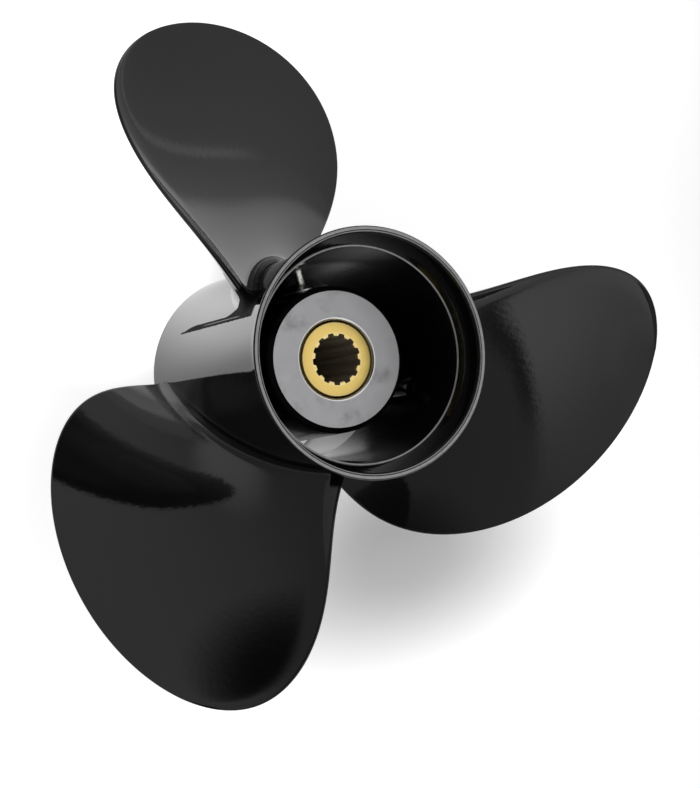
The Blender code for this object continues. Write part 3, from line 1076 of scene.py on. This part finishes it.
def floor_finish(studio):
    """A pale table whose glow paints pools of light, a shadow in one corner, and light and shade inside
    the barrel.
    """
    finish = Finish.material("pale_floor")
    x, y, _ = finish.split(finish.place)

    def patch(across, along, inner, outer, narrow=1.0):
        """1 within the inner distance of a place, fading to 0 at the outer one; all in mm."""
        aside, ahead = x - across * MM, (y - along * MM) * narrow
        return 1.0 - ((aside * aside + ahead * ahead) ** 0.5).above(inner * MM, outer * MM)

    def band(direction, low, high, fade):
        """1 between two lines square to this direction, fading to 0 outside them; all in mm."""
        ahead = x * math.cos(math.radians(direction)) + y * math.sin(math.radians(direction))
        return ahead.between(((low - fade) * MM, low * MM), (high * MM, (high + fade) * MM))

    lit = band(*LIT_BANDS[0]) * band(*LIT_BANDS[1])
    glow = studio.far_glow + (studio.floor_glow - studio.far_glow) * lit
    for *place, brightness in OTHER_PATCHES:
        glow = glow + brightness * patch(*place)
    for *place, brightness in POOLS:
        glow = glow + studio.pool * brightness * patch(*place)
    glow = glow - studio.shade * patch(*SHADE_PATCH, narrow=SHADE_NARROWING)
    # Under the barrel, painted light that is bright on one side replaces the glow, with painted shade
    # under the inner hub and near the wall.
    under = patch(0, 0, *UNDER_BARREL)
    passing = studio.inside * (1.0 - x.above(*LIT_SIDE)) * (1.0 - patch(0, 0, *UNDER_HUB))
    passing = passing * (1.0 - 0.6 * (1.0 - patch(0, 0, *AT_WALL)))
    glow = glow * (1.0 - under) + passing * under
    mottle = finish.noise(0.25, detail=3.0)
    tint = finish.mix(mottle * 0.3, FLOOR_PALER, FLOOR_PALE)
    finish.set(Base_Color=tint, Roughness=0.7, Specular_IOR_Level=0.2)
    finish.set(Emission_Color=glow.not_below(0.0), Emission_Strength=1.0)
    return finish.owner


class PROPELLER_OT_set_stage(bpy.types.Operator):
    """Set the camera, the pale floor and the soft light"""

    bl_idname = "propeller.set_stage"
    bl_label = "Set Stage"

    def execute(self, context):
        studio = context.scene.propeller_studio
        lens = bpy.data.cameras.new("camera")
        lens.lens = studio.lens
        lens.clip_start, lens.clip_end = 0.01, 50.0
        camera = bpy.data.objects.new("camera", lens)
        right, up = Vector(CAMERA_RIGHT).normalized(), Vector(CAMERA_UP).normalized()
        back = right.cross(up).normalized()
        turn = Matrix((right, back.cross(right), back)).transposed()
        camera.matrix_world = Matrix.Translation(CAMERA_PLACE) @ turn.to_4x4()
        context.scene.collection.objects.link(camera)
        context.scene.camera = camera
        builder = bmesh.new()
        bmesh.ops.create_grid(builder, x_segments=1, y_segments=1, size=studio.floor_size / 2)
        mesh = bpy.data.meshes.new("floor")
        builder.to_mesh(mesh)
        builder.free()
        floor = bpy.data.objects.new("floor", mesh)
        floor.location.z = -FLOOR_GAP
        mesh.materials.append(floor_finish(studio))
        context.scene.collection.objects.link(floor)
        context.scene.world = surroundings(studio)
        soft_light("soft_light", azimuth=-144, elevation=55, distance=1.4, size=0.9, power=studio.lamp)
        context.scene.view_settings.view_transform = "Standard"
        return {"FINISHED"}


class PROPELLER_PT_panel(bpy.types.Panel):
    """The propeller's makers and sizes, in the sidebar"""

    bl_idname = "PROPELLER_PT_panel"
    bl_label = "Propeller"
    bl_space_type = "VIEW_3D"
    bl_region_type = "UI"
    bl_category = "Propeller"

    def draw(self, context):
        for operator in MAKERS:
            self.layout.operator(operator.bl_idname)
        for name, group in SETTINGS.items():
            box = self.layout.box()
            box.label(text=group.__doc__)
            for field in group.__annotations__:
                box.prop(getattr(context.scene, name), field)


MAKERS = (
    PROPELLER_OT_make_barrel,
    PROPELLER_OT_make_blades,
    PROPELLER_OT_make_inner_hub,
    PROPELLER_OT_make_ribs,
    PROPELLER_OT_make_bush,
    PROPELLER_OT_make_sleeve,
    PROPELLER_OT_set_stage,
)


def register():
    for name, group in SETTINGS.items():
        bpy.utils.register_class(group)
        setattr(bpy.types.Scene, name, PointerProperty(type=group))
    for made in (*MAKERS, PROPELLER_PT_panel):
        bpy.utils.register_class(made)


def unregister():
    for made in (PROPELLER_PT_panel, *reversed(MAKERS)):
        bpy.utils.unregister_class(made)
    for name, group in reversed(SETTINGS.items()):
        delattr(bpy.types.Scene, name)
        bpy.utils.unregister_class(group)


def main():
    register()
    bpy.ops.propeller.make_barrel()
    bpy.ops.propeller.make_blades()
    bpy.ops.propeller.make_inner_hub()
    bpy.ops.propeller.make_ribs()
    bpy.ops.propeller.make_bush()
    bpy.ops.propeller.make_sleeve()
    bpy.ops.propeller.set_stage()


if __name__ == "__main__":
    main()
